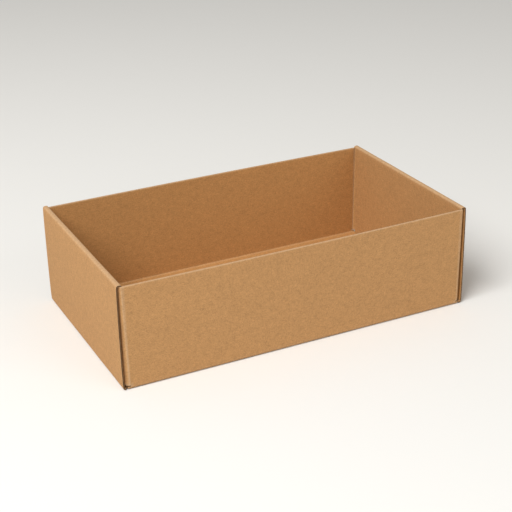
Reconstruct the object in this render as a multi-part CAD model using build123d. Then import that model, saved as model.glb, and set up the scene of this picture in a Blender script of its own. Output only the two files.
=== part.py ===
from build123d import *
import os

# A roll-end tray folded from one die-cut sheet of thin corrugated board.
# Frame: origin at the centre of the underside, +X along the length, +Y from
# front to back, +Z up. All sizes are millimetres.
#
# The sheet, from the base outwards:
#   - the front and back walls fold up from the long edges and end in a cut edge;
#   - each of their ends folds in by 90 degrees as a corner flap;
#   - each end of the base folds up as an outer ply, rolls over the corner flaps
#     as a narrow flat rim, and folds down inside as the inner ply;
#   - tabs on the inner ply drop into slots in the base and lock the end.

# ---- driving dimensions -------------------------------------------------
length = 300.0              # outside, over the two end walls
width = 170.0               # outside, over the front and back walls
height = 86.0               # table to the top of the rolled rims
board = 1.2                 # thickness of the board

rim_rise = 1.5              # rims stand this much above the front and back walls
base_fold = 1.0             # inside radius of the folds round the base
rim_fold = 0.3              # inside radius of the two rim folds
corner_fold_top = 1.2       # inside radius of a corner flap's fold at its top
corner_fold_bottom = 3.0    # the same at its bottom, where the fold is looser
outer_gap = 0.6             # air between an outer end ply and its corner flaps
inner_gap = 0.2             # air between the corner flaps and the inner end ply
end_inset = 0.3             # end wall's cut edges sit back from the side walls' faces
corner_nick = 1.4           # open nick at each corner of the base, along the length

flap_length = 68.0          # corner flap, from the side wall's face to its cut end
flap_taper = 6.0            # rise of the flap's lower edge at its cut end
flap_lift = 0.8             # flap's lower edge above the top of the base folds

inner_gap_top = 1.2         # inner ply's side edge to the side wall, at the top
inner_gap_bottom = 2.5      # the same at the bottom
inner_lift = 0.4            # inner ply's lower edge above the base

tab_width = 26.0            # each locking tab, at its root
tab_taper = 3.0             # a tab's tip is narrower by this much on each side
tab_spacing = 84.0          # between the centres of one end's two tabs
tab_recess = 0.2            # a tab's tip stops short of the underside
slot_clearance = 0.3        # air round a tab in its slot

# ---- sizes that follow --------------------------------------------------
half_length = length / 2
half_width = width / 2
base_outside = base_fold + board                  # outside radius of a base fold
rim_outside = rim_fold + board                    # outside radius of a rim fold
wall_top = height - rim_rise                      # cut top edge of front and back
flap_face = half_length - board - outer_gap       # outer face of a corner flap
inner_outer_face = flap_face - board - inner_gap  # outer face of an inner end ply
inner_face = inner_outer_face - board             # face seen inside the tray
end_half_width = half_width - end_inset
flap_bottom = base_outside + flap_lift
step_height = (wall_top + height - board) / 2     # inner ply narrows below this
inner_bottom = board + inner_lift
corner_bend = flap_face - corner_fold_bottom - board  # a wall's corner folds begin here


def base_panel():
    """Flat base between its four folds, with a slot for each locking tab."""
    panel = Box(
        2 * (half_length - base_outside),
        2 * (half_width - base_outside),
        board,
        align=(Align.CENTER, Align.CENTER, Align.MIN),
    )
    slot = Box(
        board + 2 * slot_clearance,
        tab_width + 2 * slot_clearance,
        4 * board,
    )
    slot_x = inner_face + board / 2
    for end in (-1, 1):
        for side in (-1, 1):
            panel -= Pos(end * slot_x, side * tab_spacing / 2, 0) * slot
    return panel


def quarter_fold(inside, plane, run):
    """Quarter ring of board about the plane's origin, from its -Y round to its
    +X direction, carried both ways along the plane's normal over the whole run."""
    outside = inside + board
    ring = Circle(outside) - Circle(inside)
    quadrant = Rectangle(outside, outside, align=(Align.MIN, Align.MAX))
    return extrude(plane * (ring & quadrant), amount=run / 2, both=True)


def side_wall():
    """Front or back wall drawn at +Y: base fold, wall and its two corner flaps.
    A slit frees each flap's lower edge, and the base fold runs on under it to the
    open nick at the corner of the base."""
    across = Plane(
        origin=(0, half_width - base_outside, base_outside),
        x_dir=(0, 1, 0),
        z_dir=(1, 0, 0),
    )
    fold_run = 2 * (half_length - base_outside - corner_nick)
    fold = quarter_fold(base_fold, across, fold_run)
    foot = Pos(0, half_width - board / 2, base_outside) * Box(
        2 * corner_bend,
        board,
        flap_lift,
        align=(Align.CENTER, Align.CENTER, Align.MIN),
    )
    upper = loft(
        [
            wall_section(corner_fold_bottom, flap_bottom),
            wall_section(corner_fold_top, wall_top),
        ],
        ruled=True,
    )
    for end in (-1, 1):
        upper -= flap_undercut(end)
    return fold + foot + upper


def wall_section(inside, level):
    """Level cut through a side wall at +Y and its flaps: a flat-bottomed U with
    rounded corners, one board thick."""
    flap_end = half_width - flap_length

    def outline(face_x, face_y, radius):
        """One face of the board, from the left flap's end to the right one's."""
        bend_x = face_x - radius
        bend_y = face_y - radius
        reach = radius * 0.5**0.5
        return [
            Line((-face_x, flap_end), (-face_x, bend_y)),
            ThreePointArc((-face_x, bend_y), (-bend_x - reach, bend_y + reach), (-bend_x, face_y)),
            Line((-bend_x, face_y), (bend_x, face_y)),
            ThreePointArc((bend_x, face_y), (bend_x + reach, bend_y + reach), (face_x, bend_y)),
            Line((face_x, bend_y), (face_x, flap_end)),
        ]

    outer = outline(flap_face, half_width, inside + board)
    inner = outline(flap_face - board, half_width - board, inside)
    ends = [
        Line((sign * flap_face, flap_end), (sign * (flap_face - board), flap_end))
        for sign in (-1, 1)
    ]
    return Pos(0, 0, level) * make_face(Wire(outer + inner + ends))


def flap_undercut(end):
    """Wedge that tapers a corner flap's lower edge up towards its cut end."""
    root = half_width - base_outside - corner_fold_bottom - board
    tip = half_width - flap_length
    wedge = make_face(
        Polyline(
            (root, flap_bottom),
            (tip - 1, flap_bottom + flap_taper * (root - tip + 1) / (root - tip)),
            (tip - 1, flap_bottom - 1),
            (root, flap_bottom - 1),
            close=True,
        )
    )
    placed = Plane(origin=(end * (flap_face - board / 2), 0, 0), x_dir=(0, 1, 0), z_dir=(1, 0, 0))
    return extrude(placed * wedge, amount=board, both=True)


def end_wall():
    """End wall drawn at +X: base fold, outer ply, rolled rim and inner ply."""
    run = 2 * end_half_width
    base_bend = Plane(
        origin=(half_length - base_outside, 0, base_outside),
        x_dir=(1, 0, 0),
        z_dir=(0, -1, 0),
    )
    outer_bend = Plane(
        origin=(half_length - rim_outside, 0, height - rim_outside),
        x_dir=(0, 0, 1),
        z_dir=(0, -1, 0),
    )
    inner_bend = Plane(
        origin=(inner_face + rim_outside, 0, height - rim_outside),
        x_dir=(0, 0, 1),
        z_dir=(0, 1, 0),
    )
    wall = quarter_fold(base_fold, base_bend, run)
    wall += slab(half_length - board, half_length, base_outside, height - rim_outside, run)
    wall += quarter_fold(rim_fold, outer_bend, run)
    wall += slab(
        inner_face + rim_outside, half_length - rim_outside, height - board, height, run
    )
    wall += quarter_fold(rim_fold, inner_bend, run)
    wall += slab(inner_face, inner_outer_face, inner_bottom, height - rim_outside, run)
    wall -= inner_side_cuts()
    for side in (-1, 1):
        wall += locking_tab(side)
    return wall


def slab(low_x, high_x, low_z, high_z, run):
    """Flat stretch of board across the end, centred on the length's axis."""
    return Pos((low_x + high_x) / 2, 0, low_z) * Box(
        high_x - low_x,
        run,
        high_z - low_z,
        align=(Align.CENTER, Align.CENTER, Align.MIN),
    )


def inner_side_cuts():
    """What is trimmed off both side edges of an inner ply, so that it drops in
    between the front and back walls. The trim widens towards the base."""
    top_edge = half_width - board - inner_gap_top
    bottom_edge = half_width - board - inner_gap_bottom
    trims = Part()
    for side in (-1, 1):
        trim = make_face(
            Polyline(
                (side * top_edge, step_height),
                (side * bottom_edge, inner_bottom),
                (side * bottom_edge, 0),
                (side * (half_width + 1), 0),
                (side * (half_width + 1), step_height),
                close=True,
            )
        )
        middle = (inner_face + half_length - board) / 2
        placed = Plane(origin=(middle, 0, 0), x_dir=(0, 1, 0), z_dir=(1, 0, 0))
        reach = (half_length - board - inner_face) / 2
        trims += extrude(placed * trim, amount=reach, both=True)
    return trims


def locking_tab(side):
    """Tapered tab on the inner ply's lower edge, standing in its base slot."""
    centre = side * tab_spacing / 2
    root = tab_width / 2
    tip = root - tab_taper
    outline = make_face(
        Polyline(
            (centre - root, inner_bottom),
            (centre - tip, tab_recess),
            (centre + tip, tab_recess),
            (centre + root, inner_bottom),
            close=True,
        )
    )
    middle = (inner_face + inner_outer_face) / 2
    placed = Plane(origin=(middle, 0, 0), x_dir=(0, 1, 0), z_dir=(1, 0, 0))
    return extrude(placed * outline, amount=board / 2, both=True)


back = side_wall()
right = end_wall()
tray = base_panel() + back + mirror(back, Plane.XZ) + right + mirror(right, Plane.YZ)
tray.label = "tray"

os.makedirs("parts", exist_ok=True)
export_step(tray, "parts/tray.step")

print("solids", len(tray.solids()), "volume", round(tray.volume, 1), "valid", tray.is_valid)
print("size", tray.bounding_box())
print("board area, square metres", round(tray.volume / board / 1e6, 4))
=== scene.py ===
"""Studio scene of a roll-end cardboard tray, folded from one sheet of thin fluted board.

The tray's place and overall size come from the CAD frame. Its visible sheet is
worked out flat, as the cut blank it is made from, and then folded by one formula,
so that its paper grain, its flutes and its cut edges run on across every fold.
Lengths are metres.
"""

import math

import bpy
import numpy as np
from mathutils import Matrix, Vector


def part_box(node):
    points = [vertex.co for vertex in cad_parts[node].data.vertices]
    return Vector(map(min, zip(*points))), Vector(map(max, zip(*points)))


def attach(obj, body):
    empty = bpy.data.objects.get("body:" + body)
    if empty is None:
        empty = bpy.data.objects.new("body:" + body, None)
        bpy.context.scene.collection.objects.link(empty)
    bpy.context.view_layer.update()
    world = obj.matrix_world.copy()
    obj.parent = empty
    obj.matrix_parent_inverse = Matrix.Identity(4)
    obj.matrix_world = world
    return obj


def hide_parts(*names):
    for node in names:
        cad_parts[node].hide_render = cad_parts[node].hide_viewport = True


bl_info = {
    "name": "Folded Cardboard Tray",
    "version": (1, 0, 0),
    "blender": (4, 5, 0),
    "location": "3D View > Sidebar > Tray",
    "description": "Folds a fluted-board tray around its CAD frame and sets up a pale studio",
    "category": "Object",
}

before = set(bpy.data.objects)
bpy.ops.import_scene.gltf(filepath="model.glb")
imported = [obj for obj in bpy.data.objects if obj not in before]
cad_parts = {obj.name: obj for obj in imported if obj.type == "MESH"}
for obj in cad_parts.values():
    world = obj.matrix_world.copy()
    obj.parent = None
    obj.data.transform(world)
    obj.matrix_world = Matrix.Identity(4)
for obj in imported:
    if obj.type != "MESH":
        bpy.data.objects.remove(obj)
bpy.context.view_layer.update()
TRAY_LOW, TRAY_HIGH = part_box("tray")
MM = 0.001
QUARTER_TURN = math.pi / 2
SCORE_DEPTH = 0.14 * MM  # ridge and groove of a corner fold
CUT_CRUSH = 0.06 * MM  # how far a cut edge's papers are pressed in
TOP_CRUSH = 0.2 * MM  # the same along the walls' top edges, on top of it
WASHBOARD_SCALE = math.tau / (20 * 3.3 * MM)  # bands 3.3 mm apart
FLOOR_REACH = 6.0
FLOOR_DROP = 0.2 * MM  # keeps the floor just clear of the underside
BLANK_UV = "blank"  # the UV map that is the flat sheet itself


# ---- settings --------------------------------------------------------------


def length_setting(name, description, default):
    """A length that a user may change, in metres, shown to a hundredth of a millimetre."""
    return bpy.props.FloatProperty(
        name=name, description=description, default=default, unit="LENGTH", precision=5
    )


def colour_setting(name, description, default):
    """A linear colour that a user may change."""
    return bpy.props.FloatVectorProperty(
        name=name, description=description, default=default, size=3, subtype="COLOR", min=0, max=1
    )


def number_setting(name, description, default):
    """A plain number that a user may change."""
    return bpy.props.FloatProperty(name=name, description=description, default=default)


class TRAY_PG_sizes(bpy.types.PropertyGroup):
    """Sizes of the folded tray. The overall ones come from the CAD frame."""

    length: length_setting("Length", "Outside length, along X", TRAY_HIGH[0] - TRAY_LOW[0])
    width: length_setting("Width", "Outside width, along Y", TRAY_HIGH[1] - TRAY_LOW[1])
    height: length_setting("Height", "Table to rim", TRAY_HIGH[2] - TRAY_LOW[2])
    board: length_setting("Board", "Thickness of the board", 1.2 * MM)
    rim_rise: length_setting("Rim rise", "Rims above the side walls' cut edges", 1.5 * MM)
    base_fold: length_setting("Base fold", "Inside radius of the folds round the base", 1.0 * MM)
    rim_fold: length_setting("Rim fold", "Inside radius of the two folds of a rim", 0.3 * MM)
    corner_fold_top: length_setting("Corner fold top", "Inside radius of a flap's fold, top", 1.2 * MM)
    corner_fold_bottom: length_setting(
        "Corner fold bottom", "Inside radius of a flap's fold, bottom", 3.0 * MM
    )
    outer_gap: length_setting("Outer gap", "Air between an outer end ply and a flap", 0.6 * MM)
    inner_gap: length_setting("Inner gap", "Air between a flap and the inner end ply", 0.2 * MM)
    end_inset: length_setting("End inset", "End walls' cut edges behind the side faces", 0.3 * MM)
    corner_nick: length_setting("Corner nick", "Open nick at each corner of the base", 1.4 * MM)
    flap_length: length_setting("Flap length", "Corner flap, from the side wall's face", 68.0 * MM)
    flap_taper: length_setting("Flap taper", "Rise of a flap's lower edge at its end", 6.0 * MM)
    flap_lift: length_setting("Flap lift", "Flap's lower edge above the base folds", 0.8 * MM)
    inner_gap_top: length_setting("Side gap top", "Inner ply to side wall, top", 1.2 * MM)
    inner_gap_bottom: length_setting("Side gap bottom", "Inner ply to side wall, bottom", 2.5 * MM)
    inner_lift: length_setting("Inner lift", "Inner ply's lower edge above the base", 0.4 * MM)
    tab_width: length_setting("Tab width", "Locking tab at its root", 26.0 * MM)
    tab_taper: length_setting("Tab taper", "Narrowing of a tab's tip, each side", 3.0 * MM)
    tab_spacing: length_setting("Tab spacing", "Between one end's two tabs", 84.0 * MM)
    tab_recess: length_setting("Tab recess", "Tab's tip short of the underside", 0.2 * MM)
    slot_clearance: length_setting("Slot clearance", "Air round a tab in its slot", 0.3 * MM)


class TRAY_PG_paper(bpy.types.PropertyGroup):
    """Make-up of the fluted board, and its small unevennesses."""

    liner: length_setting("Liner", "Thickness of each flat paper", 0.22 * MM)
    medium: length_setting("Fluted paper", "Thickness of the fluted paper", 0.2 * MM)
    pitch: length_setting("Flute pitch", "From one flute to the next", 3.5 * MM)
    top_depth: length_setting("Top edge depth", "Open depth of flutes at walls' top edges", 0.35 * MM)
    side_depth: length_setting("Side edge depth", "Open depth of flutes at end walls' edges", 2.2 * MM)
    plain_depth: length_setting("Plain edge depth", "Hollow of a cut along the flutes", 0.3 * MM)
    wall_bow: length_setting("Wall bow", "Outward bow of a side wall's top edge", 1.2 * MM)
    end_bow: length_setting("End bow", "Bulge of an end wall's plies", 0.35 * MM)
    stand_off: length_setting("Stand-off", "Outer end ply stands away from its flaps", 0.45 * MM)
    base_bow: length_setting("Base bow", "Rise of the base's middle", 0.8 * MM)
    cockle: length_setting("Cockle", "Slow waviness of the flat panels", 0.1 * MM)
    outer_colour: colour_setting("Outer liner", "Colour of the outside paper", (0.44, 0.235, 0.092))
    inner_colour: colour_setting("Inner liner", "Colour of the inside paper", (0.46, 0.235, 0.082))
    # Lighter paper for rubbed folds and cut edges, and for the rims' spines and top edges as a painted
    # highlight.
    wear_and_highlight_colour: colour_setting("Worn paper", "Colour of rubbed creases", (0.56, 0.385, 0.235))
    # Darker than the liners, partly the fluting's own brown and partly painted shade in the open flutes.
    cut_and_shade_colour: colour_setting("Cut paper", "Colour of cut edges and flutes", (0.22, 0.125, 0.06))


class TRAY_PG_stage(bpy.types.PropertyGroup):
    """Camera, lights and floor."""

    azimuth: bpy.props.FloatProperty(
        name="Azimuth", description="Camera round the tray", default=math.radians(-25.94), subtype="ANGLE"
    )
    elevation: bpy.props.FloatProperty(
        name="Elevation", description="Camera above the table", default=math.radians(24.75), subtype="ANGLE"
    )
    roll: bpy.props.FloatProperty(
        name="Roll",
        description="Camera turned about its view",
        default=math.radians(-1.26),
        subtype="ANGLE",
    )
    distance: length_setting("Distance", "Camera from the tray's foot", 1.047)
    aim_right: length_setting("Aim right", "Camera moved to its right", 0.0012)
    aim_up: length_setting("Aim up", "Camera moved along its own up", 0.038)
    lens: number_setting("Lens", "Focal length in millimetres on a 36 mm frame", 87.5)
    key_power: number_setting("Key power", "Large soft light, in watts", 62.0)
    fill_power: number_setting("Fill power", "Front light, in watts", 10.0)
    sky: number_setting("Sky", "Strength of the even light all round", 0.38)
    floor_colour: colour_setting("Floor", "Colour of the floor", (0.78, 0.77, 0.74))


# ---- the flat blank and its folds -------------------------------------------


class Blank:
    """The flat sheet and the formula that folds it.

    u runs along the tray's length and v across it, both from the middle of the
    base, and w is the depth into the board from its outer face. Stations along u
    and v are distances along the middle of the board's thickness.
    """

    def __init__(self, sizes, paper):
        self.board = sizes.board
        self.half_length = sizes.length / 2
        self.half_width = sizes.width / 2
        self.height = sizes.height
        self.base_outside = sizes.base_fold + self.board
        self.rim_outside = sizes.rim_fold + self.board
        self.wall_top = sizes.height - sizes.rim_rise
        self.flap_face = self.half_length - self.board - sizes.outer_gap
        self.inner_face = self.flap_face - 2 * self.board - sizes.inner_gap
        self.flap_bottom = self.base_outside + sizes.flap_lift
        self.inner_bottom = self.board + sizes.inner_lift
        self.corner_top = sizes.corner_fold_top + self.board
        self.corner_bottom = sizes.corner_fold_bottom + self.board
        self.corner_bend = self.flap_face - self.corner_bottom
        self.flap_tip = self.half_width - sizes.flap_length
        self.flap_taper = sizes.flap_taper
        self.end_half_width = self.half_width - sizes.end_inset
        self.inner_half_width = self.half_width - self.board - sizes.inner_gap_top
        self.inner_narrowing = sizes.inner_gap_bottom - sizes.inner_gap_top
        self.tab_centre = sizes.tab_spacing / 2
        self.tab_half = sizes.tab_width / 2
        self.tab_taper = sizes.tab_taper
        self.slot_clearance = sizes.slot_clearance
        self.paper = paper
        self.set_end_stations(sizes)
        self.set_wall_stations(sizes)

    def set_end_stations(self, sizes):
        """Distances along u at which the end wall's folds and flats begin."""
        self.base_arc = QUARTER_TURN * (sizes.base_fold + self.board / 2)
        self.rim_arc = QUARTER_TURN * (sizes.rim_fold + self.board / 2)
        rim_level = self.height - self.rim_outside
        self.base_end = self.half_length - self.base_outside
        self.outer_start = self.base_end + self.base_arc
        self.rim_start = self.outer_start + rim_level - self.base_outside
        self.spine_start = self.rim_start + self.rim_arc
        spine = self.half_length - self.inner_face - 2 * self.rim_outside
        self.spine_end = self.spine_start + spine
        self.inner_start = self.spine_end + self.rim_arc
        self.inner_end = self.inner_start + rim_level - self.inner_bottom
        self.tab_end = self.inner_end + self.inner_bottom - sizes.tab_recess

    def set_wall_stations(self, sizes):
        """Distances along v up a side wall, and along u round its corner flaps."""
        self.base_side = self.half_width - self.base_outside
        self.wall_start = self.base_side + self.base_arc
        self.flap_row = self.wall_start + sizes.flap_lift
        self.wall_end = self.wall_start + self.wall_top - self.base_outside
        self.flap_end = self.corner_bend + self.flap_run(self.corner_top)
        self.divide = (self.end_half_width + self.flap_row) / 2
        self.slit = (self.wall_start + self.flap_row) / 2
        self.nick_start = self.base_end - sizes.corner_nick
        self.nick_middle = self.base_end - sizes.corner_nick / 2

    def flap_run(self, corner):
        """Length round a corner whose outside radius is given, from the line where
        the widest corner fold begins to the flap's cut end."""
        flat = self.flap_face - corner - self.corner_bend
        return flat + QUARTER_TURN * (corner - self.board / 2) + self.half_width - corner - self.flap_tip

    def fold(self, u, v, w):
        """Points of the folded tray for points (u, v, w) of the flat blank.

        Each quarter holds one of three strips: the base, the end wall that rolls up
        and over from it, or the side wall with its corner flap. The signs of u and
        v put the quarter's point in its place.
        """
        a, b = np.abs(u), np.abs(v)
        w = w + self.unevenness(u, v)
        x, y, z = a.copy(), b.copy(), w.copy()
        end = (a > self.nick_middle) & (b < self.divide)
        wall = (b > self.base_side) & ~end
        x[end], y[end], z[end] = self.end_point(a[end], b[end], w[end])
        x[wall], y[wall], z[wall] = self.wall_point(a[wall], b[wall], w[wall])
        return np.stack([np.sign(u) * x, np.sign(v) * y, z], axis=-1)

    def end_point(self, a, b, w):
        """Rolled end wall: a quarter ring off the base, a straight climb, a quarter
        ring, a level spine, a quarter ring, and a straight drop to the tabs."""
        rim_level = self.height - self.rim_outside
        turn_base = (a - self.base_end) / (self.base_arc / QUARTER_TURN)
        turn_outer = (a - self.rim_start) / (self.rim_arc / QUARTER_TURN)
        turn_inner = (a - self.spine_end) / (self.rim_arc / QUARTER_TURN)
        base_radius = self.base_outside - w
        rim_radius = self.rim_outside - w
        ranges = [
            a <= self.base_end,
            a < self.outer_start,
            a < self.rim_start,
            a < self.spine_start,
            a < self.spine_end,
            a < self.inner_start,
        ]
        x = np.select(
            ranges,
            [
                a,
                self.base_end + base_radius * np.sin(turn_base),
                self.half_length - w,
                self.half_length - self.rim_outside + rim_radius * np.cos(turn_outer),
                self.half_length - self.rim_outside - (a - self.spine_start),
                self.inner_face + self.rim_outside - rim_radius * np.sin(turn_inner),
            ],
            self.inner_face + w,
        )
        z = np.select(
            ranges,
            [
                w,
                self.base_outside - base_radius * np.cos(turn_base),
                self.base_outside + a - self.outer_start,
                rim_level + rim_radius * np.sin(turn_outer),
                self.height - w,
                rim_level + rim_radius * np.cos(turn_inner),
            ],
            rim_level - (a - self.inner_start),
        )
        drop = np.clip((a - self.inner_start) / (self.inner_end - self.inner_start), 0, 1)
        narrower = 1 - drop * self.inner_narrowing / self.inner_half_width
        tab = np.clip((a - self.inner_end) / (self.tab_end - self.inner_end), 0, 1)
        tab_y = self.tab_centre + (b - self.tab_centre) * (1 - tab * self.tab_taper / self.tab_half)
        y = np.where(a > self.inner_end, tab_y, b * narrower)
        return x, y, z

    def wall_point(self, a, b, w):
        """Side wall and corner flap: a quarter ring off the base and a straight
        climb; past the corner line the level section turns a quarter ring, tighter
        towards the top, and runs back along the end as the flap."""
        turn = np.clip((b - self.base_side) / (self.base_arc / QUARTER_TURN), 0, QUARTER_TURN)
        climb, corner, along, share = self.corner_turn(a, b)
        w = w + SCORE_DEPTH * (bell(share - 0.46, 0.13) - bell(share - 0.14, 0.12))
        radius = self.base_outside - w
        y = self.base_side + radius * np.sin(turn)
        z = self.base_outside - radius * np.cos(turn) + np.maximum(b - self.wall_start, 0)
        flat = self.flap_face - corner - self.corner_bend
        bend = QUARTER_TURN * (corner - self.board / 2)
        angle = share * QUARTER_TURN
        straight = np.maximum(along - flat - bend, 0)
        centre_x = self.flap_face - corner
        centre_y = self.half_width - corner
        past = along > flat
        level_x = np.where(b > self.slit, np.minimum(a, self.corner_bend) + along, a)
        x = np.where(past, centre_x + (corner - w) * np.sin(angle), level_x)
        y = np.where(past, centre_y + (corner - w) * np.cos(angle) - straight, y)
        reach = np.clip(straight / (centre_y - self.flap_tip), 0, 1)
        z = z + self.flap_taper * reach * (1 - climb)
        return x, y, z

    def corner_turn(self, a, b):
        """How a point sits in its corner fold: its climb up the wall, the fold's
        outside radius there, its length past the corner line, and the share of the
        quarter turn made, which is nought before the fold and one on the flap."""
        level = self.base_outside + b - self.wall_start
        climb = np.clip((level - self.flap_bottom) / (self.wall_top - self.flap_bottom), 0, 1)
        corner = self.corner_bottom + (self.corner_top - self.corner_bottom) * climb
        nominal = self.flap_end - self.corner_bend
        along = np.maximum(a - self.corner_bend, 0) * self.flap_run(corner) / nominal
        along = np.where(b > self.slit, along, 0)
        flat = self.flap_face - corner - self.corner_bend
        bend = QUARTER_TURN * (corner - self.board / 2)
        return climb, corner, along, np.clip((along - flat) / bend, 0, 1)

    def unevenness(self, u, v):
        """Small shifts into the board that a folded sheet shows: bowed side walls,
        bulging end plies, a base that rises in the middle, and slow waves made of
        a few sines that die out at the folds."""
        a, b = np.abs(u), np.abs(v)
        paper = self.paper
        rise = np.clip((b - self.wall_start) / (self.wall_end - self.wall_start), 0, 1)
        across = np.clip(1 - (a / self.corner_bend) ** 2, 0, 1)
        wall_bow = -paper.wall_bow * across * rise**1.6
        end_width = np.clip(1 - (b / self.inner_half_width) ** 2, 0, 1)
        outer = np.clip((a - self.outer_start) / (self.rim_start - self.outer_start), 0, 1)
        inner = np.clip((a - self.inner_start) / (self.inner_end - self.inner_start), 0, 1)
        bulge = np.sin(np.pi * outer) + 0.8 * np.sin(np.pi * inner)
        end_bow = -paper.end_bow * end_width * bulge * (b < self.divide)
        stand_off = (4 * outer * (1 - outer)) ** 0.4 * (b < self.divide)
        end_bow = end_bow - paper.stand_off * stand_off
        in_base = np.clip(1 - (a / self.base_end) ** 2, 0, 1) * np.clip(1 - (b / self.base_side) ** 2, 0, 1)
        base_bow = paper.base_bow * in_base
        waves = np.sin(u * 71 + v * 23 + 0.6) + np.sin(u * 39 - v * 57 + 2.1) + np.sin(u * 118 + v * 96)
        flatness = np.abs(np.sin(np.pi * np.clip(b / self.base_side, 0, 1))) + rise * (1 - rise) * 3 + bulge
        cockle = paper.cockle * waves / 3 * np.clip(flatness, 0, 1)
        return wall_bow + end_bow + base_bow + cockle

    def wear_and_highlight_share(self, u, v):
        """How much a point's paper is lightened, 0 to 1, as rubbed paper and painted highlight together:
        all of a rim's spine and a thin line along each top cut edge, which are painted highlight, and a
        bell curve across each other fold, partly rubbed paper and partly painted highlight."""
        a, b = np.abs(u), np.abs(v)
        on_wall = b > self.divide
        rim_middle = (self.rim_start + self.inner_start) / 2
        rim_half = (self.inner_start - self.rim_start) / 2
        # Painted highlight along the rim's spine, besides any rubbing.
        rim = 1 - np.clip((np.abs(a - rim_middle) - 0.55 * rim_half) / (0.5 * rim_half), 0, 1)
        foot = 0.45 * bell(a - self.base_end - self.base_arc / 2, 1.2 * MM)
        share = self.corner_turn(a, b)[3]
        corner = bell(share - 0.12, 0.14) + 0.35 * bell(share - 0.75, 0.15)
        corner = corner * (a > self.corner_bend) * (b > self.slit)
        side = 0.45 * bell(b - self.base_side - self.base_arc / 2, 1.2 * MM) * (a < self.nick_start)
        # Painted highlight along each top cut edge.
        top = bell(b - self.wall_end, 0.8 * MM)
        elsewhere = rim + foot + side * (a < self.base_end)
        return np.clip(np.where(on_wall, corner + side + top, elsewhere), 0, 1)


def bell(distance, width):
    """Bell curve: e to the power minus the square of distance over width."""
    return np.exp(-((distance / width) ** 2))


def stations(stops, spacings):
    """Grid lines through every stop, with each gap between stops divided evenly
    into steps no longer than its spacing."""
    pieces = [np.array([stops[0]])]
    for low, high, spacing in zip(stops[:-1], stops[1:], spacings):
        steps = max(1, math.ceil((high - low) / spacing - 1e-6))
        pieces.append(np.linspace(low, high, steps + 1)[1:])
    return np.concatenate(pieces)


def both_ways(lines):
    """The same grid lines on both sides of zero."""
    return np.concatenate([-lines[:0:-1], lines])


def blank_lines(blank):
    """Grid lines of the blank along u and v: coarse on the flats, fine across the
    folds and beside the cut edges."""
    flat, fine, edge = 2.6 * MM, 0.4 * MM, 0.5 * MM
    slot_low = blank.inner_face - blank.slot_clearance
    slot_high = blank.inner_face + blank.board + blank.slot_clearance
    u_stops = sorted(
        {
            0.0,
            blank.corner_bend,
            slot_low,
            slot_high,
            blank.nick_start,
            blank.base_end,
            blank.outer_start,
            blank.flap_end - 3 * edge,
            blank.flap_end,
            blank.rim_start,
            blank.spine_start,
            blank.spine_end,
            blank.inner_start,
            blank.inner_end - 3 * edge,
            blank.inner_end,
            blank.tab_end,
        }
    )
    u_steps = [line_step(low, high, flat, fine) for low, high in zip(u_stops[:-1], u_stops[1:])]
    v_stops = sorted(
        {
            0.0,
            blank.tab_centre - blank.tab_half - blank.slot_clearance,
            blank.tab_centre - blank.tab_half,
            blank.tab_centre + blank.tab_half,
            blank.tab_centre + blank.tab_half + blank.slot_clearance,
            blank.inner_half_width - 3 * edge,
            blank.inner_half_width,
            blank.base_side,
            blank.end_half_width,
            blank.wall_start,
            blank.flap_row,
            blank.wall_end - 3 * edge,
            blank.wall_end,
        }
    )
    v_steps = [line_step(low, high, flat, fine) for low, high in zip(v_stops[:-1], v_stops[1:])]
    return both_ways(stations(u_stops, u_steps)), both_ways(stations(v_stops, v_steps))


def line_step(low, high, flat, fine):
    """Grid step for a gap between stops: fine where the gap is a fold or an edge."""
    return flat if high - low > 5 * MM else fine


def blank_cells(blank, u_lines, v_lines):
    """Which grid cells are board: the base less its slots, the side walls with
    their folds, the corner flaps, the end rolls, the inner plies and the tabs."""
    a = np.abs((u_lines[:-1] + u_lines[1:]) / 2)[:, None]
    b = np.abs((v_lines[:-1] + v_lines[1:]) / 2)[None, :]
    from_tab = np.abs(b - blank.tab_centre)
    slot = (a > blank.inner_face - blank.slot_clearance)
    slot = slot & (a < blank.inner_face + blank.board + blank.slot_clearance)
    slot = slot & (from_tab < blank.tab_half + blank.slot_clearance)
    base = (a < blank.base_end) & (b < blank.base_side) & ~slot
    wall = (a < blank.corner_bend) & (b > blank.base_side) & (b < blank.wall_end)
    foot = (a < blank.nick_start) & (b > blank.base_side) & (b < blank.wall_start)
    flap = (a > blank.corner_bend) & (a < blank.flap_end) & (b > blank.flap_row) & (b < blank.wall_end)
    rolled = (a > blank.base_end) & (a < blank.inner_start) & (b < blank.end_half_width)
    inner = (a > blank.inner_start) & (a < blank.inner_end) & (b < blank.inner_half_width)
    tab = (a > blank.inner_end) & (a < blank.tab_end) & (from_tab < blank.tab_half)
    return base | wall | foot | flap | rolled | inner | tab


# ---- mesh of the folded sheet -----------------------------------------------


def rim_edges(cells):
    """Grid edges between board and no board, as pairs of grid points, each turned
    so that the board is on its left."""
    padded = np.pad(cells, 1)
    above, below = padded[1:-1, 1:], padded[1:-1, :-1]
    right, left = padded[1:, 1:-1], padded[:-1, 1:-1]
    pairs = []
    for wanted, forward, along_u in (
        (above & ~below, True, True),
        (below & ~above, False, True),
        (left & ~right, True, False),
        (right & ~left, False, False),
    ):
        i, j = np.nonzero(wanted)
        start = np.stack([i, j], axis=1)
        stop = start + (np.array([1, 0]) if along_u else np.array([0, 1]))
        pairs.append(np.stack([start, stop] if forward else [stop, start], axis=1))
    return np.concatenate(pairs)


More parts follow.
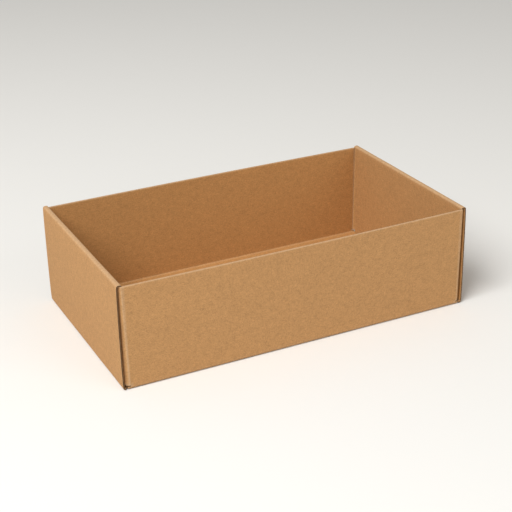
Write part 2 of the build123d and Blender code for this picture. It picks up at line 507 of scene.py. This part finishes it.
def cut_depths(blank, u, v, edges):
    """How far each rim point's cut is hollow between its papers, and the way in.

    The way in is the sum of the left-hand normals of the point's rim edges. A cut
    along u crosses the flutes, so it is open; any other cut is nearly closed.
    """
    points = np.stack([u, v], axis=-1)
    step = points[edges[:, 1, 0], edges[:, 1, 1]] - points[edges[:, 0, 0], edges[:, 0, 1]]
    inward = np.sign(np.stack([-step[:, 1], step[:, 0]], axis=1))
    paper = blank.paper
    middle_v = np.abs(v[edges[:, 0, 0], edges[:, 0, 1]])
    along_u = np.abs(step[:, 0]) > 0
    on_top = along_u & (middle_v > blank.divide)
    on_side = along_u & (middle_v < blank.divide) & (middle_v > blank.inner_half_width - MM)
    in_base = np.abs(u[edges[:, 0, 0], edges[:, 0, 1]]) < blank.base_end - MM / 10
    on_side = on_side & ~in_base
    depth = np.where(on_top, paper.top_depth, np.where(on_side, paper.side_depth, paper.plain_depth))
    way_in = np.zeros(u.shape + (2,))
    reach = np.full(u.shape, np.inf)
    for end in (0, 1):
        np.add.at(way_in, (edges[:, end, 0], edges[:, end, 1]), inward)
        np.minimum.at(reach, (edges[:, end, 0], edges[:, end, 1]), depth)
    return np.sign(way_in), reach


def sheet_geometry(blank):
    """Closed surface of the folded sheet.

    Two skins on one grid, outer at depth nought and inner at the board's thickness,
    are joined round every cut by a channel: down the outer paper's lip, in along
    it, across, and back out along the inner paper. Returns the points, the quads,
    the flat coordinates of each point, and which quads are cut faces.
    """
    u_lines, v_lines = blank_lines(blank)
    cells = blank_cells(blank, u_lines, v_lines)
    u, v = np.meshgrid(u_lines, v_lines, indexing="ij")
    edges = rim_edges(cells)
    way_in, reach = cut_depths(blank, u, v, edges)

    used = np.zeros(u.shape, bool)
    for di, dj in ((0, 0), (1, 0), (0, 1), (1, 1)):
        used[di : di + cells.shape[0], dj : dj + cells.shape[1]] |= cells
    on_rim = np.isfinite(reach)
    liner, board = blank.paper.liner, blank.board
    from_top = np.abs(v) - blank.wall_end
    crush = np.where(on_rim, CUT_CRUSH, 0) + TOP_CRUSH * bell(from_top, 0.4 * MM)
    layers = [
        (used, 0.0, 0.0),
        (on_rim, liner, 0.0),
        (on_rim, liner, 1.0),
        (on_rim, board - liner, 1.0),
        (on_rim, board - liner, 0.0),
        (used, board, 0.0),
    ]
    numbers, flat_points, depths = [], [], []
    count = 0
    for mask, depth, inset in layers:
        index = np.full(u.shape, -1)
        index[mask] = np.arange(count, count + mask.sum())
        count += mask.sum()
        numbers.append(index)
        shift = np.where(on_rim, reach, 0)[..., None] * way_in * inset
        flat_points.append(np.stack([u[mask], v[mask]], axis=1) + shift[mask])
        depths.append(depth + crush[mask] * (1 - 2 * depth / board))
    flat = np.concatenate(flat_points)
    w = np.concatenate(depths)

    i, j = np.nonzero(cells)
    corners = [(i, j), (i + 1, j), (i + 1, j + 1), (i, j + 1)]
    inner = np.stack([numbers[5][corner] for corner in corners], axis=1)
    outer = np.stack([numbers[0][corner] for corner in reversed(corners)], axis=1)
    start = (edges[:, 0, 0], edges[:, 0, 1])
    stop = (edges[:, 1, 0], edges[:, 1, 1])
    cuts = [
        np.stack([low[start], low[stop], high[stop], high[start]], axis=1)
        for low, high in zip(numbers[:-1], numbers[1:])
    ]
    quads = np.concatenate([outer, inner] + cuts)
    is_cut = np.arange(len(quads)) >= len(outer) + len(inner)
    points = blank.fold(flat[:, 0], flat[:, 1], w)
    return points, quads, flat, w, is_cut


def make_mesh(name, points, quads):
    """Mesh object at the origin from arrays of points and quads."""
    mesh = bpy.data.meshes.new(name)
    mesh.vertices.add(len(points))
    mesh.vertices.foreach_set("co", points.astype(np.float32).ravel())
    mesh.loops.add(quads.size)
    mesh.loops.foreach_set("vertex_index", quads.astype(np.int32).ravel())
    mesh.polygons.add(len(quads))
    mesh.polygons.foreach_set("loop_start", np.arange(0, quads.size, 4, dtype=np.int32))
    mesh.update(calc_edges=True)
    mesh.validate()
    mesh.shade_smooth()
    mesh.set_sharp_from_angle(angle=math.radians(38))
    piece = bpy.data.objects.new(name, mesh)
    bpy.context.scene.collection.objects.link(piece)
    return piece


def lay_out_blank(mesh, flat, w):
    """UV map that is the flat blank itself, in metres. The inner paper's half is
    moved a metre along, so that its grain differs from the outer paper's."""
    corner_point = np.empty(len(mesh.loops), np.int32)
    mesh.loops.foreach_get("vertex_index", corner_point)
    corner_depth = w[corner_point]
    uv = flat[corner_point].copy()
    uv[:, 0] += np.where(corner_depth > w.max() / 2, 1.0, 0.0)
    layer = mesh.uv_layers.new(name=BLANK_UV)
    layer.uv.foreach_set("vector", uv.astype(np.float32).ravel())


def point_attribute(mesh, name, values):
    """One number for each point of a mesh, for its material to read."""
    layer = mesh.attributes.new(name, "FLOAT", "POINT")
    layer.data.foreach_set("value", values.astype(np.float32))


# ---- fluted paper in the cut edges ------------------------------------------


def fluted_strip(blank, low_u, high_u, edge_v, way_in, depth, seed):
    """One strip of the fluted paper, seen end-on in a cut edge.

    Along u the paper's middle line is a sine between the liners, a little uneven
    in pitch. Its section is a thin rectangle from the cut to the channel's back,
    carried along that line square to its slope, with closed ends.
    """
    paper = blank.paper
    samples = max(12, int((high_u - low_u) / paper.pitch * 12))
    u = np.linspace(low_u, high_u, samples)
    drift = np.random.default_rng(seed).uniform(0, 6.28, 3)
    phase = 2 * np.pi * u / paper.pitch
    phase = phase + 0.35 * np.sin(u * 95 + drift[0]) + 0.2 * np.sin(u * 260 + drift[1])
    swing = (blank.board - 2 * paper.liner - paper.medium) / 2 + 0.03 * MM
    middle = blank.board / 2 + swing * np.sin(phase)
    slope = np.gradient(middle, u)
    length = np.sqrt(1 + slope**2)
    side_u = -slope / length * paper.medium / 2
    side_w = paper.medium / 2 / length
    cut = 0.06 * MM * (1 + 0.6 * np.sin(u * 1900 + drift[2]))
    back = np.full(samples, depth + 0.05 * MM)
    ring_u = np.stack([u + side_u, u - side_u, u - side_u, u + side_u], axis=1)
    ring_w = np.stack([middle + side_w, middle - side_w, middle - side_w, middle + side_w], axis=1)
    ring_in = np.stack([cut, cut, back, back], axis=1)
    ring_v = edge_v + way_in * ring_in
    points = blank.fold(ring_u.ravel(), ring_v.ravel(), ring_w.ravel())
    near = np.arange(samples - 1)[:, None] * 4 + np.arange(4)[None, :]
    near_next = np.arange(samples - 1)[:, None] * 4 + np.roll(np.arange(4), -1)[None, :]
    sides = np.stack([near, near_next, near_next + 4, near + 4], axis=-1).reshape(-1, 4)
    last = 4 * (samples - 1)
    ends = np.array([[3, 2, 1, 0], [last, last + 1, last + 2, last + 3]])
    quads = np.concatenate([sides, ends])
    if way_in < 0:
        quads = quads[:, ::-1]
    flat = np.stack([ring_u.ravel(), ring_v.ravel()], axis=1)
    return points, quads, flat


def fluting_geometry(blank):
    """All the strips: along the side walls' and flaps' top and bottom edges, and up
    the side edges of the end walls' outer plies, rims and inner plies."""
    paper = blank.paper
    runs = []
    for side in (-1, 1):
        top = side * blank.wall_end
        runs.append((-blank.flap_end, blank.flap_end, top, -side, paper.top_depth))
        for end in (-1, 1):
            for low, high, edge, way_in, depth in (
                (blank.base_end, blank.inner_start, blank.end_half_width, -1, paper.side_depth),
                (blank.inner_start, blank.inner_end, blank.inner_half_width, -1, paper.side_depth),
                (blank.corner_bend, blank.flap_end, blank.flap_row, 1, paper.top_depth),
            ):
                span = sorted((end * low, end * high))
                runs.append((span[0], span[1], side * edge, side * way_in, depth))
    points, quads, flats = [], [], []
    count = 0
    for seed, run in enumerate(runs):
        strip_points, strip_quads, strip_flat = fluted_strip(blank, *run, seed)
        points.append(strip_points)
        quads.append(strip_quads + count)
        flats.append(strip_flat)
        count += len(strip_points)
    return np.concatenate(points), np.concatenate(quads), np.concatenate(flats)


# ---- materials ---------------------------------------------------------------


class Recipe:
    """A material being put together node by node."""

    def __init__(self, name):
        self.material = bpy.data.materials.new(name)
        self.material.use_nodes = True
        self.tree = self.material.node_tree
        self.shader = self.tree.nodes["Principled BSDF"]

    def node(self, kind, inputs=(), **settings):
        """New node. A given input is either another node's socket, which is joined
        to it, or a plain value."""
        new = self.tree.nodes.new("ShaderNode" + kind)
        for name, value in settings.items():
            setattr(new, name, value)
        for key, value in dict(inputs).items():
            self.feed(new.inputs[key], value)
        return new

    def feed(self, socket, value):
        """Join a socket to an output, or set its plain value."""
        if isinstance(value, bpy.types.NodeSocket):
            self.tree.links.new(value, socket)
        else:
            socket.default_value = value

    def maths(self, operation, first, second=0.5, third=0.5):
        """One sum on numbers."""
        new = self.node("Math", {0: first, 1: second, 2: third}, operation=operation)
        return new.outputs[0]

    def spread(self, value, low, high, to_low=0.0, to_high=1.0):
        """A value's range low to high turned into another, and held to it."""
        inputs = {"Value": value, "From Min": low, "From Max": high, "To Min": to_low, "To Max": to_high}
        return self.node("MapRange", inputs).outputs["Result"]

    def blend(self, share, first, second, how="MIX"):
        """Two colours blended by a share."""
        new = self.node("Mix", {0: share, 6: first, 7: second}, data_type="RGBA", blend_type=how)
        return new.outputs[2]

    def stretched(self, vector, scale, turn=0.0):
        """Flat coordinates turned and stretched. Scales are grains to the metre."""
        inputs = {"Vector": vector, "Scale": scale, "Rotation": (0, 0, turn)}
        return self.node("Mapping", inputs, vector_type="POINT").outputs[0]

    def grain(self, vector, scale, detail=2.0, roughness=0.5, distortion=0.0):
        """Noise pattern, nought to one."""
        inputs = {
            "Vector": vector,
            "Scale": scale,
            "Detail": detail,
            "Roughness": roughness,
            "Distortion": distortion,
        }
        return self.node("TexNoise", inputs).outputs["Fac"]

    def attribute(self, name):
        """A number laid on the mesh's points."""
        return self.node("Attribute", attribute_name=name, attribute_type="GEOMETRY").outputs["Fac"]


def linear(colour):
    """Colour with full opacity."""
    return (colour[0], colour[1], colour[2], 1.0)


def kraft_paper(name, colour, wear_and_highlight):
    """Unbleached liner paper.

    Its tone is a sum of clouds 20 mm, 5 mm, 2 mm and 0.8 mm wide, with short
    fibres drawn along the paper's machine direction and across it, and sparse
    dark and light flecks. The relief is the same fibres, a little fuzz, and the
    flutes showing through as a faint washboard.
    """
    recipe = Recipe(name)
    flat = recipe.node("UVMap", uv_map=BLANK_UV).outputs["UV"]
    clouds = recipe.grain(flat, 45.0, 3.0, 0.55)
    patches = recipe.grain(flat, 210.0, 3.0, 0.6)
    mottle = recipe.grain(flat, 620.0, 3.0, 0.65)
    speckle = recipe.grain(flat, 1250.0, 2.0, 0.6)
    along = recipe.grain(recipe.stretched(flat, (260, 2000, 1), 0.12), 1.0, 3.0, 0.6, 0.6)
    across = recipe.grain(recipe.stretched(flat, (1700, 330, 1), -0.35), 1.0, 3.0, 0.6, 0.6)
    wild = recipe.grain(recipe.stretched(flat, (420, 2200, 1), 0.9), 1.0, 2.0, 0.6, 0.8)
    shares = (
        (clouds, 0.10),
        (patches, 0.34),
        (mottle, 0.52),
        (speckle, 0.62),
        (along, 0.5),
        (across, 0.4),
        (wild, 0.3),
    )
    tone = 1 - sum(share for pattern, share in shares) / 2
    for pattern, share in shares:
        tone = recipe.maths("MULTIPLY_ADD", pattern, share, tone)
    grey = recipe.node("CombineColor", {0: tone, 1: tone, 2: tone}).outputs[0]
    paper = recipe.blend(1.0, linear(colour), grey, "MULTIPLY")

    dark_seed = recipe.grain(recipe.stretched(flat, (900, 1500, 1), 0.5), 1.0, 2.0, 0.5, 0.4)
    dark = recipe.spread(dark_seed, 0.66, 0.74, 0.0, 0.42)
    dark_fibre = tuple(channel * 0.42 for channel in colour)
    paper = recipe.blend(dark, paper, linear(dark_fibre))
    light_seed = recipe.grain(recipe.stretched(flat, (1400, 800, 1), -0.4), 1.0, 2.0, 0.5, 0.4)
    light = recipe.spread(light_seed, 0.64, 0.74, 0.0, 0.45)
    light_fibre = tuple(min(1.0, channel * 1.45 + 0.03) for channel in colour)
    paper = recipe.blend(light, paper, linear(light_fibre))

    # Painted highlight and rubbed paper: the folds, the rims' spines and the top edges are blended towards
    # the wear colour.
    crease_wear_and_highlight = recipe.attribute("crease_wear_and_highlight")
    rubbed_and_highlit = recipe.maths("MULTIPLY", crease_wear_and_highlight, recipe.spread(mottle, 0.3, 0.62, 0.35, 1.0))
    rubbed_and_highlit = recipe.maths("MULTIPLY", rubbed_and_highlit, 0.6)
    paper = recipe.blend(rubbed_and_highlit, paper, linear(wear_and_highlight))
    # Painted highlight and fraying: the points round every cut edge are blended towards the wear colour.
    edge = recipe.attribute("edge")
    frayed_and_highlit = recipe.maths("MULTIPLY", edge, recipe.spread(patches, 0.35, 0.65, 0.1, 0.75))
    paper = recipe.blend(frayed_and_highlit, paper, linear(wear_and_highlight))
    recipe.feed(recipe.shader.inputs["Base Color"], paper)

    rough = recipe.maths("MULTIPLY_ADD", mottle, 0.16, 0.72)
    rough = recipe.maths("MULTIPLY_ADD", rubbed_and_highlit, 0.08, rough)
    recipe.feed(recipe.shader.inputs["Roughness"], rough)
    recipe.shader.inputs["Specular IOR Level"].default_value = 0.28

    waves = recipe.node(
        "TexWave",
        {"Vector": flat, "Scale": WASHBOARD_SCALE, "Distortion": 0.4, "Detail": 1.0},
        wave_type="BANDS",
        bands_direction="X",
        wave_profile="SIN",
    ).outputs["Fac"]
    relief = recipe.maths("MULTIPLY", waves, 0.10)
    relief = recipe.maths("MULTIPLY_ADD", along, 0.40, relief)
    relief = recipe.maths("MULTIPLY_ADD", across, 0.30, relief)
    relief = recipe.maths("MULTIPLY_ADD", speckle, 0.25, relief)
    relief = recipe.maths("MULTIPLY_ADD", mottle, 0.30, relief)
    relief = recipe.maths("MULTIPLY_ADD", patches, 0.35, relief)
    bump = recipe.node("Bump", {"Strength": 0.5, "Distance": 0.10 * MM, "Height": relief})
    recipe.feed(recipe.shader.inputs["Normal"], bump.outputs[0])
    return recipe.material


def cut_board(name, colour, wear_and_highlight):
    """Cut and fluted paper, torn into fine fibres with a rough broken surface. Its colour is the fluting's
    own darker brown, darkened further as painted shade in the open flutes, except along the walls' top
    edges, which are blended pale as a painted highlight, partly rubbed paper too."""
    recipe = Recipe(name)
    place = recipe.node("TexCoord").outputs["Object"]
    torn = recipe.grain(place, 1800.0, 3.0, 0.65)
    clumps = recipe.grain(place, 500.0, 3.0, 0.6)
    threads = recipe.grain(recipe.stretched(place, (2600, 2600, 700)), 1.0, 3.0, 0.6, 0.5)
    tone = recipe.maths("MULTIPLY_ADD", torn, 0.5, 0.35)
    tone = recipe.maths("MULTIPLY_ADD", clumps, 0.45, tone)
    tone = recipe.maths("MULTIPLY_ADD", threads, 0.35, tone)
    grey = recipe.node("CombineColor", {0: tone, 1: tone, 2: tone}).outputs[0]
    # Painted highlight: the cut colour is blended towards the wear colour along the walls' top edges.
    paper = recipe.blend(recipe.attribute("top"), linear(colour), linear(wear_and_highlight))
    recipe.feed(recipe.shader.inputs["Base Color"], recipe.blend(1.0, paper, grey, "MULTIPLY"))
    recipe.shader.inputs["Roughness"].default_value = 0.92
    recipe.shader.inputs["Specular IOR Level"].default_value = 0.15
    height = recipe.maths("MULTIPLY_ADD", torn, 0.6, threads)
    bump = recipe.node("Bump", {"Strength": 0.7, "Distance": 0.12 * MM, "Height": height})
    recipe.feed(recipe.shader.inputs["Normal"], bump.outputs[0])
    return recipe.material


def plain_floor(name, colour):
    """Smooth matt studio paper."""
    recipe = Recipe(name)
    recipe.shader.inputs["Base Color"].default_value = linear(colour)
    recipe.shader.inputs["Roughness"].default_value = 0.85
    recipe.shader.inputs["Specular IOR Level"].default_value = 0.2
    return recipe.material


# ---- pieces -------------------------------------------------------------------


class TRAY_OT_sheet(bpy.types.Operator):
    """Fold the tray's sheet, with its papers' cut edges open round the flutes"""

    bl_idname = "tray.fold_sheet"
    bl_label = "Fold the sheet"

    def execute(self, context):
        blank = Blank(context.scene.tray_sizes, context.scene.tray_paper)
        paper = context.scene.tray_paper
        points, quads, flat, w, is_cut = sheet_geometry(blank)
        piece = make_mesh("tray_sheet", points, quads)
        if len(piece.data.polygons) != len(quads):
            raise RuntimeError("the folded sheet lost some faces")
        lay_out_blank(piece.data, flat, w)
        # Masks for the blend towards the wear colour, partly rubbed paper and partly painted highlight on
        # folds, rims and edges.
        point_attribute(piece.data, "crease_wear_and_highlight", blank.wear_and_highlight_share(flat[:, 0], flat[:, 1]))
        point_attribute(piece.data, "edge", edge_wear_and_highlight(len(points), quads[is_cut]))
        point_attribute(piece.data, "top", bell(np.abs(flat[:, 1]) - blank.wall_end, 2 * MM))
        piece.data.materials.append(kraft_paper("outer liner", paper.outer_colour, paper.wear_and_highlight_colour))
        piece.data.materials.append(kraft_paper("inner liner", paper.inner_colour, paper.wear_and_highlight_colour))
        piece.data.materials.append(cut_board("cut edge", paper.cut_and_shade_colour, paper.wear_and_highlight_colour))
        depth = w[quads].mean(axis=1)
        which = np.where(is_cut, 2, np.where(depth > blank.board / 2, 1, 0))
        piece.data.polygons.foreach_set("material_index", which.astype(np.int32))
        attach(piece, "root")
        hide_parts("tray")
        return {"FINISHED"}


def edge_wear_and_highlight(count, cut_quads):
    """One at the points round the cut edges, nought elsewhere: a mask for painted highlight and fraying
    there.
    """
    wear_and_highlight = np.zeros(count)
    wear_and_highlight[np.unique(cut_quads)] = 1.0
    return wear_and_highlight


class TRAY_OT_fluting(bpy.types.Operator):
    """Lay the fluted paper in the open cut edges"""

    bl_idname = "tray.lay_fluting"
    bl_label = "Lay the fluted paper"

    def execute(self, context):
        blank = Blank(context.scene.tray_sizes, context.scene.tray_paper)
        points, quads, flat = fluting_geometry(blank)
        piece = make_mesh("tray_fluting", points, quads)
        if len(piece.data.polygons) != len(quads):
            raise RuntimeError("the fluted paper lost some faces")
        lay_out_blank(piece.data, flat, np.zeros(len(points)))
        # Mask for the painted highlight along the top cut edges.
        point_attribute(piece.data, "top", bell(np.abs(flat[:, 1]) - blank.wall_end, 2 * MM))
        paper = context.scene.tray_paper
        piece.data.materials.append(cut_board("fluted paper", paper.cut_and_shade_colour, paper.wear_and_highlight_colour))
        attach(piece, "root")
        return {"FINISHED"}


# ---- studio --------------------------------------------------------------------


def camera_place(stage):
    """Camera matrix.

    The backward direction comes from the azimuth and elevation, right is level,
    and both right and up are turned by the roll. The camera stands at the distance
    along backward, moved by its own right and up.
    """
    azimuth, elevation, roll = stage.azimuth, stage.elevation, stage.roll
    back = Vector(
        (
            math.sin(azimuth) * math.cos(elevation),
            -math.cos(azimuth) * math.cos(elevation),
            math.sin(elevation),
        )
    )
    level = Vector((math.cos(azimuth), math.sin(azimuth), 0))
    upright = back.cross(level)
    right = level * math.cos(roll) + upright * math.sin(roll)
    up = upright * math.cos(roll) - level * math.sin(roll)
    place = back * stage.distance + right * stage.aim_right + up * stage.aim_up
    turn = Matrix((right, up, back)).transposed()
    return Matrix.Translation(place) @ turn.to_4x4()


def soft_light(name, power, size, place, target):
    """Square area light aimed at a point."""
    light = bpy.data.lights.new(name, "AREA")
    light.shape = "SQUARE"
    light.size = size
    light.energy = power
    lamp = bpy.data.objects.new(name, light)
    lamp.location = place
    lamp.rotation_euler = (Vector(target) - Vector(place)).to_track_quat("-Z", "Y").to_euler()
    bpy.context.scene.collection.objects.link(lamp)
    return lamp


class TRAY_OT_stage(bpy.types.Operator):
    """Set the pale floor, the soft lights and the camera"""

    bl_idname = "tray.set_stage"
    bl_label = "Set the stage"

    def execute(self, context):
        scene = context.scene
        stage = scene.tray_stage
        turns = np.array([(-1, -1), (1, -1), (1, 1), (-1, 1)]) * FLOOR_REACH
        corners = np.column_stack([turns, np.full(4, -FLOOR_DROP)])
        floor = make_mesh("floor", corners, np.array([[0, 1, 2, 3]]))
        floor.data.materials.append(plain_floor("studio paper", stage.floor_colour))
        soft_light("key", stage.key_power, 1.4, (-1.35, -0.75, 1.85), (0, 0, 0.04))
        soft_light("fill", stage.fill_power, 1.4, (0.9, -2.0, 1.1), (0, 0, 0.04))
        world = bpy.data.worlds.new("studio")
        world.use_nodes = True
        world.node_tree.nodes["Background"].inputs["Color"].default_value = (1.0, 0.98, 0.95, 1.0)
        world.node_tree.nodes["Background"].inputs["Strength"].default_value = stage.sky
        scene.world = world
        lens = bpy.data.cameras.new("camera")
        lens.lens = stage.lens
        lens.clip_start = 0.05
        lens.clip_end = 30
        camera = bpy.data.objects.new("camera", lens)
        camera.matrix_world = camera_place(stage)
        scene.collection.objects.link(camera)
        scene.camera = camera
        scene.view_settings.view_transform = "Standard"
        return {"FINISHED"}


# ---- panel and registration -----------------------------------------------------


class TRAY_PT_panel(bpy.types.Panel):
    """Sizes, colours and steps of the tray"""

    bl_idname = "TRAY_PT_panel"
    bl_label = "Folded Tray"
    bl_space_type = "VIEW_3D"
    bl_region_type = "UI"
    bl_category = "Tray"

    def draw(self, context):
        for settings in (context.scene.tray_sizes, context.scene.tray_paper, context.scene.tray_stage):
            column = self.layout.column(align=True)
            for name in settings.__annotations__:
                column.prop(settings, name)
        for step in (TRAY_OT_sheet, TRAY_OT_fluting, TRAY_OT_stage):
            self.layout.operator(step.bl_idname)


CLASSES = (
    TRAY_PG_sizes,
    TRAY_PG_paper,
    TRAY_PG_stage,
    TRAY_OT_sheet,
    TRAY_OT_fluting,
    TRAY_OT_stage,
    TRAY_PT_panel,
)


def register():
    """Add the settings, steps and panel to Blender."""
    for entry in CLASSES:
        bpy.utils.register_class(entry)
    bpy.types.Scene.tray_sizes = bpy.props.PointerProperty(type=TRAY_PG_sizes)
    bpy.types.Scene.tray_paper = bpy.props.PointerProperty(type=TRAY_PG_paper)
    bpy.types.Scene.tray_stage = bpy.props.PointerProperty(type=TRAY_PG_stage)


def unregister():
    """Take them away again."""
    del bpy.types.Scene.tray_stage
    del bpy.types.Scene.tray_paper
    del bpy.types.Scene.tray_sizes
    for entry in reversed(CLASSES):
        bpy.utils.unregister_class(entry)


def main():
    """Build the tray and its stage in order."""
    register()
    bpy.ops.tray.fold_sheet()
    bpy.ops.tray.lay_fluting()
    bpy.ops.tray.set_stage()


if __name__ == "__main__":
    main()
